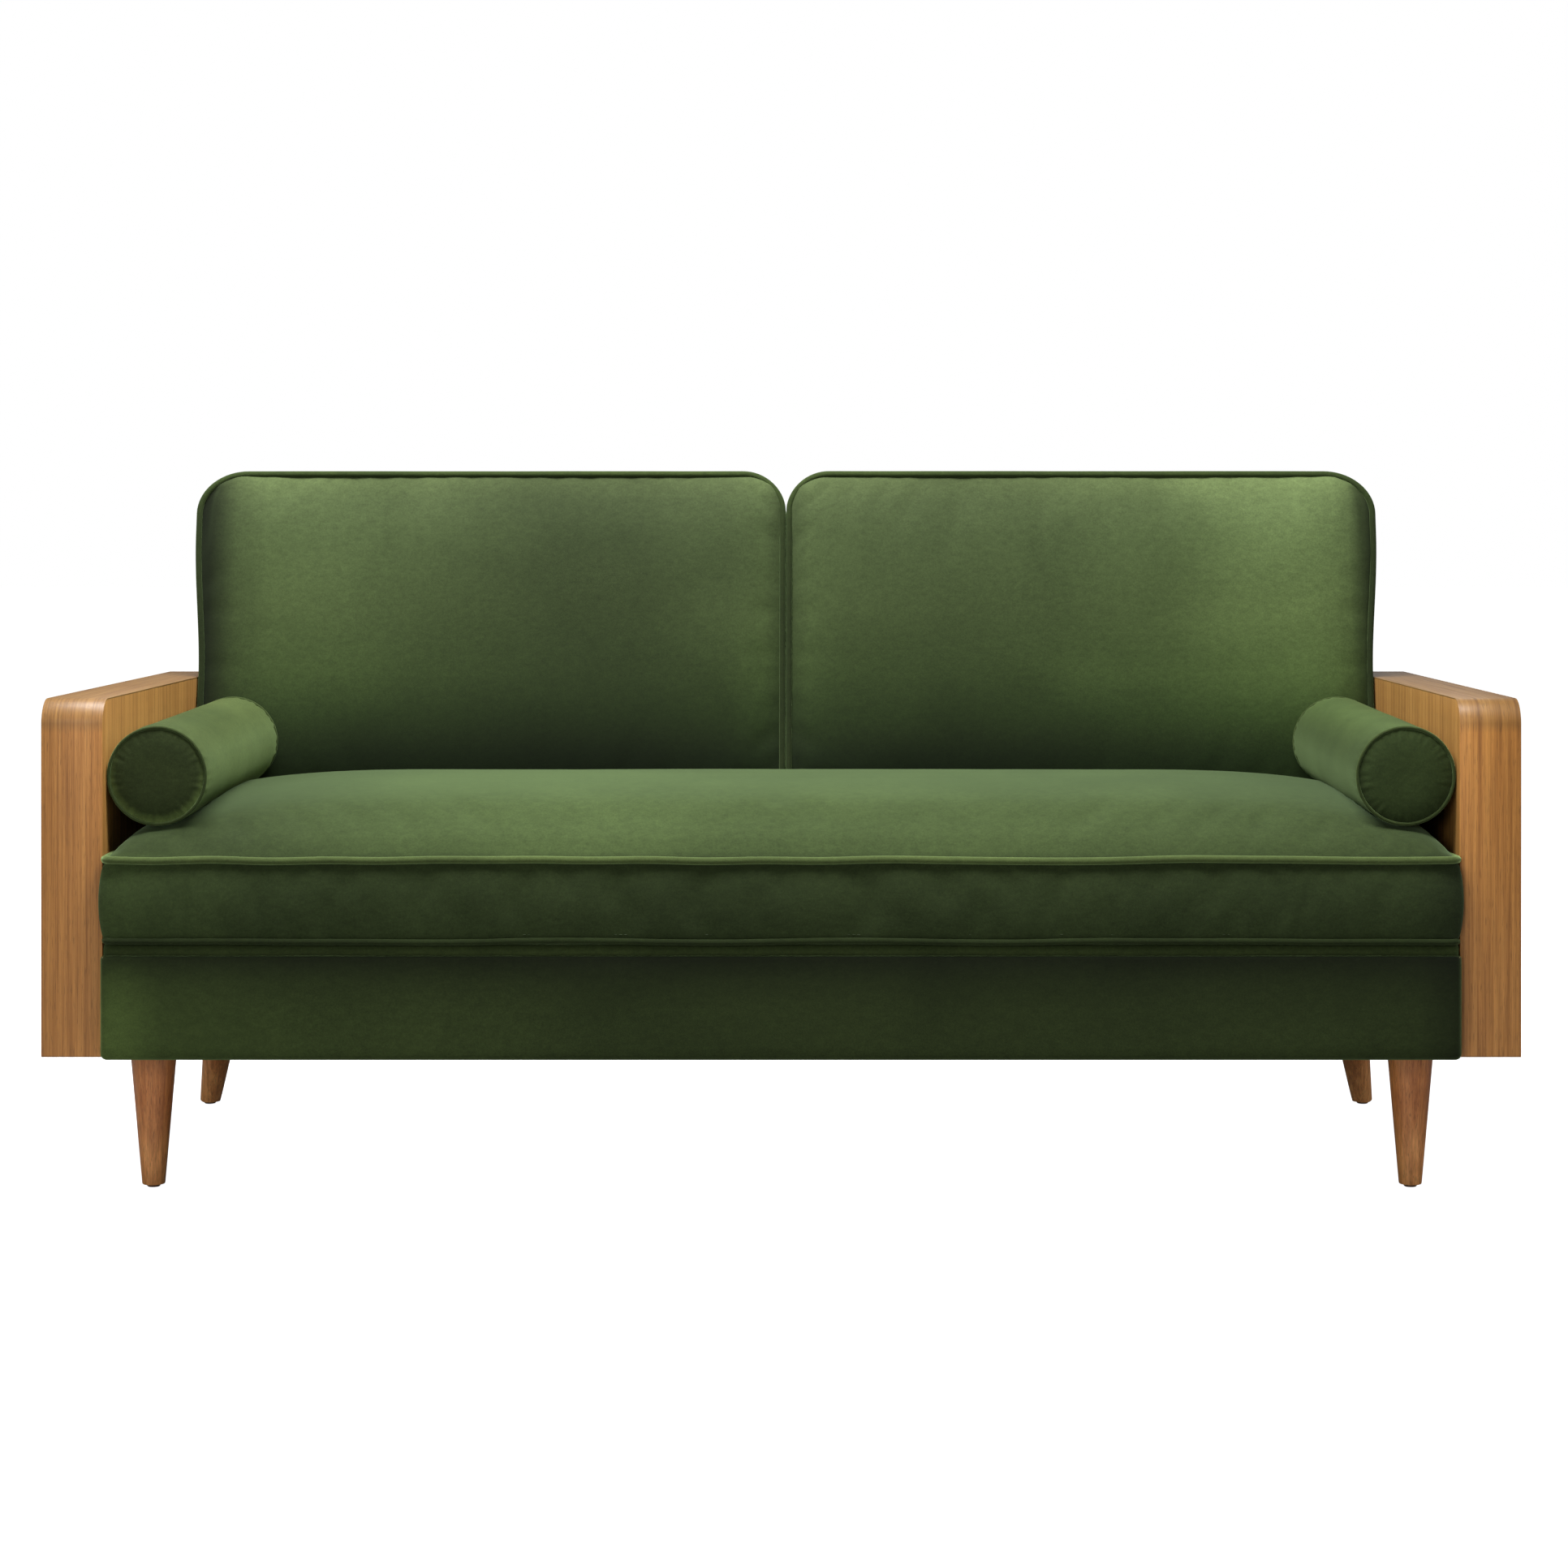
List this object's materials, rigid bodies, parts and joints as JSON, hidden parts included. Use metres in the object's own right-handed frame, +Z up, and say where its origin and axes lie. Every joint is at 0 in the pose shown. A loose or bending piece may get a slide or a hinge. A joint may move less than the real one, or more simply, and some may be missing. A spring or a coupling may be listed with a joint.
{
  "type": "futon sofa bed",
  "caption": "Velvet sofa bed with a split back that folds flat on ratchet hinges, a one-piece seat, wooden slab arms, tapered legs and loose bolsters.",
  "frame": {"origin": "on the floor, under the middle of the sofa in width and in depth", "axes": "+X to the right as seen from the front, +Y from front to rear, +Z up"},
  "size_m": [1.76, 0.76, 0.88],
  "materials": {
    "velvet": "short brushed velvet pile",
    "oak": "satin straight-grained veneer",
    "leg_wood": "satin lacquered solid wood",
    "pine": "sawn softwood and plywood",
    "foam": "open-cell foam",
    "black_cloth": "non-woven cloth and webbing",
    "steel": "zinc-plated",
    "brown_plastic": "moulded glide"
  },
  "bodies": {
    "base": {"base_front_board": "pine", "base_rear_board": "pine", "base_left_board": "pine", "base_right_board": "pine", "cross_beams": "pine", "corner_blocks": "pine", "hinge_beam": "pine", "rear_deck": "pine", "base_cover": "velvet", "dust_cover": "black_cloth", "seat_front_rail": "pine", "seat_rear_rail": "pine", "seat_side_rails": "pine", "seat_springs": "steel", "spring_clips": "steel", "seat_felt_pad": "black_cloth", "seat_lip_cover": "velvet", "seat_foam": "foam", "seat_cushion": "velvet", "arm_left_outer_panel": "oak", "arm_left_inner_panel": "oak", "arm_left_core": "pine", "arm_left_veneer_wrap": "oak", "arm_left_edge_strips": "oak", "arm_right_outer_panel": "oak", "arm_right_inner_panel": "oak", "arm_right_core": "pine", "arm_right_veneer_wrap": "oak", "arm_right_edge_strips": "oak", "arm_bolts": "steel", "leg_front_left": "leg_wood", "leg_front_right": "leg_wood", "leg_rear_left": "leg_wood", "leg_rear_right": "leg_wood", "leg_plates": "steel", "hanger_bolts": "steel", "leg_glides": "brown_plastic", "hinge_brackets": "steel", "hinge_pins": "steel", "bracket_screws": "steel"},
    "back_left": {"back_left_stiles": "pine", "back_left_rails": "pine", "back_left_webbing": "black_cloth", "back_left_foam": "foam", "back_left_cushion": "velvet", "back_left_rear_panel": "velvet", "back_left_hinge_leaves": "steel", "back_left_leaf_bolts": "steel"},
    "back_right": {"back_right_stiles": "pine", "back_right_rails": "pine", "back_right_webbing": "black_cloth", "back_right_foam": "foam", "back_right_cushion": "velvet", "back_right_rear_panel": "velvet", "back_right_hinge_leaves": "steel", "back_right_leaf_bolts": "steel"},
    "bolster_left": {"bolster_left_core": "foam", "bolster_left_cover": "velvet"},
    "bolster_right": {"bolster_right_core": "foam", "bolster_right_cover": "velvet"}
  },
  "joints": [
    {"name": "back_left_recline", "type": "hinge", "parent": "base", "child": "back_left", "pos_m": [-0.402, 0.224, 0.3995], "axis": [-1, 0, 0], "range_deg": [-6, 79]},
    {"name": "back_right_recline", "type": "hinge", "parent": "base", "child": "back_right", "pos_m": [0.402, 0.224, 0.3995], "axis": [-1, 0, 0], "range_deg": [-6, 79]},
    {"name": "bolster_left_lift", "type": "slide", "parent": "base", "child": "bolster_left", "axis": [0, 0, 1], "range_m": [0, 0.2]},
    {"name": "bolster_right_lift", "type": "slide", "parent": "base", "child": "bolster_right", "axis": [0, 0, 1], "range_m": [0, 0.2]}
  ]
}
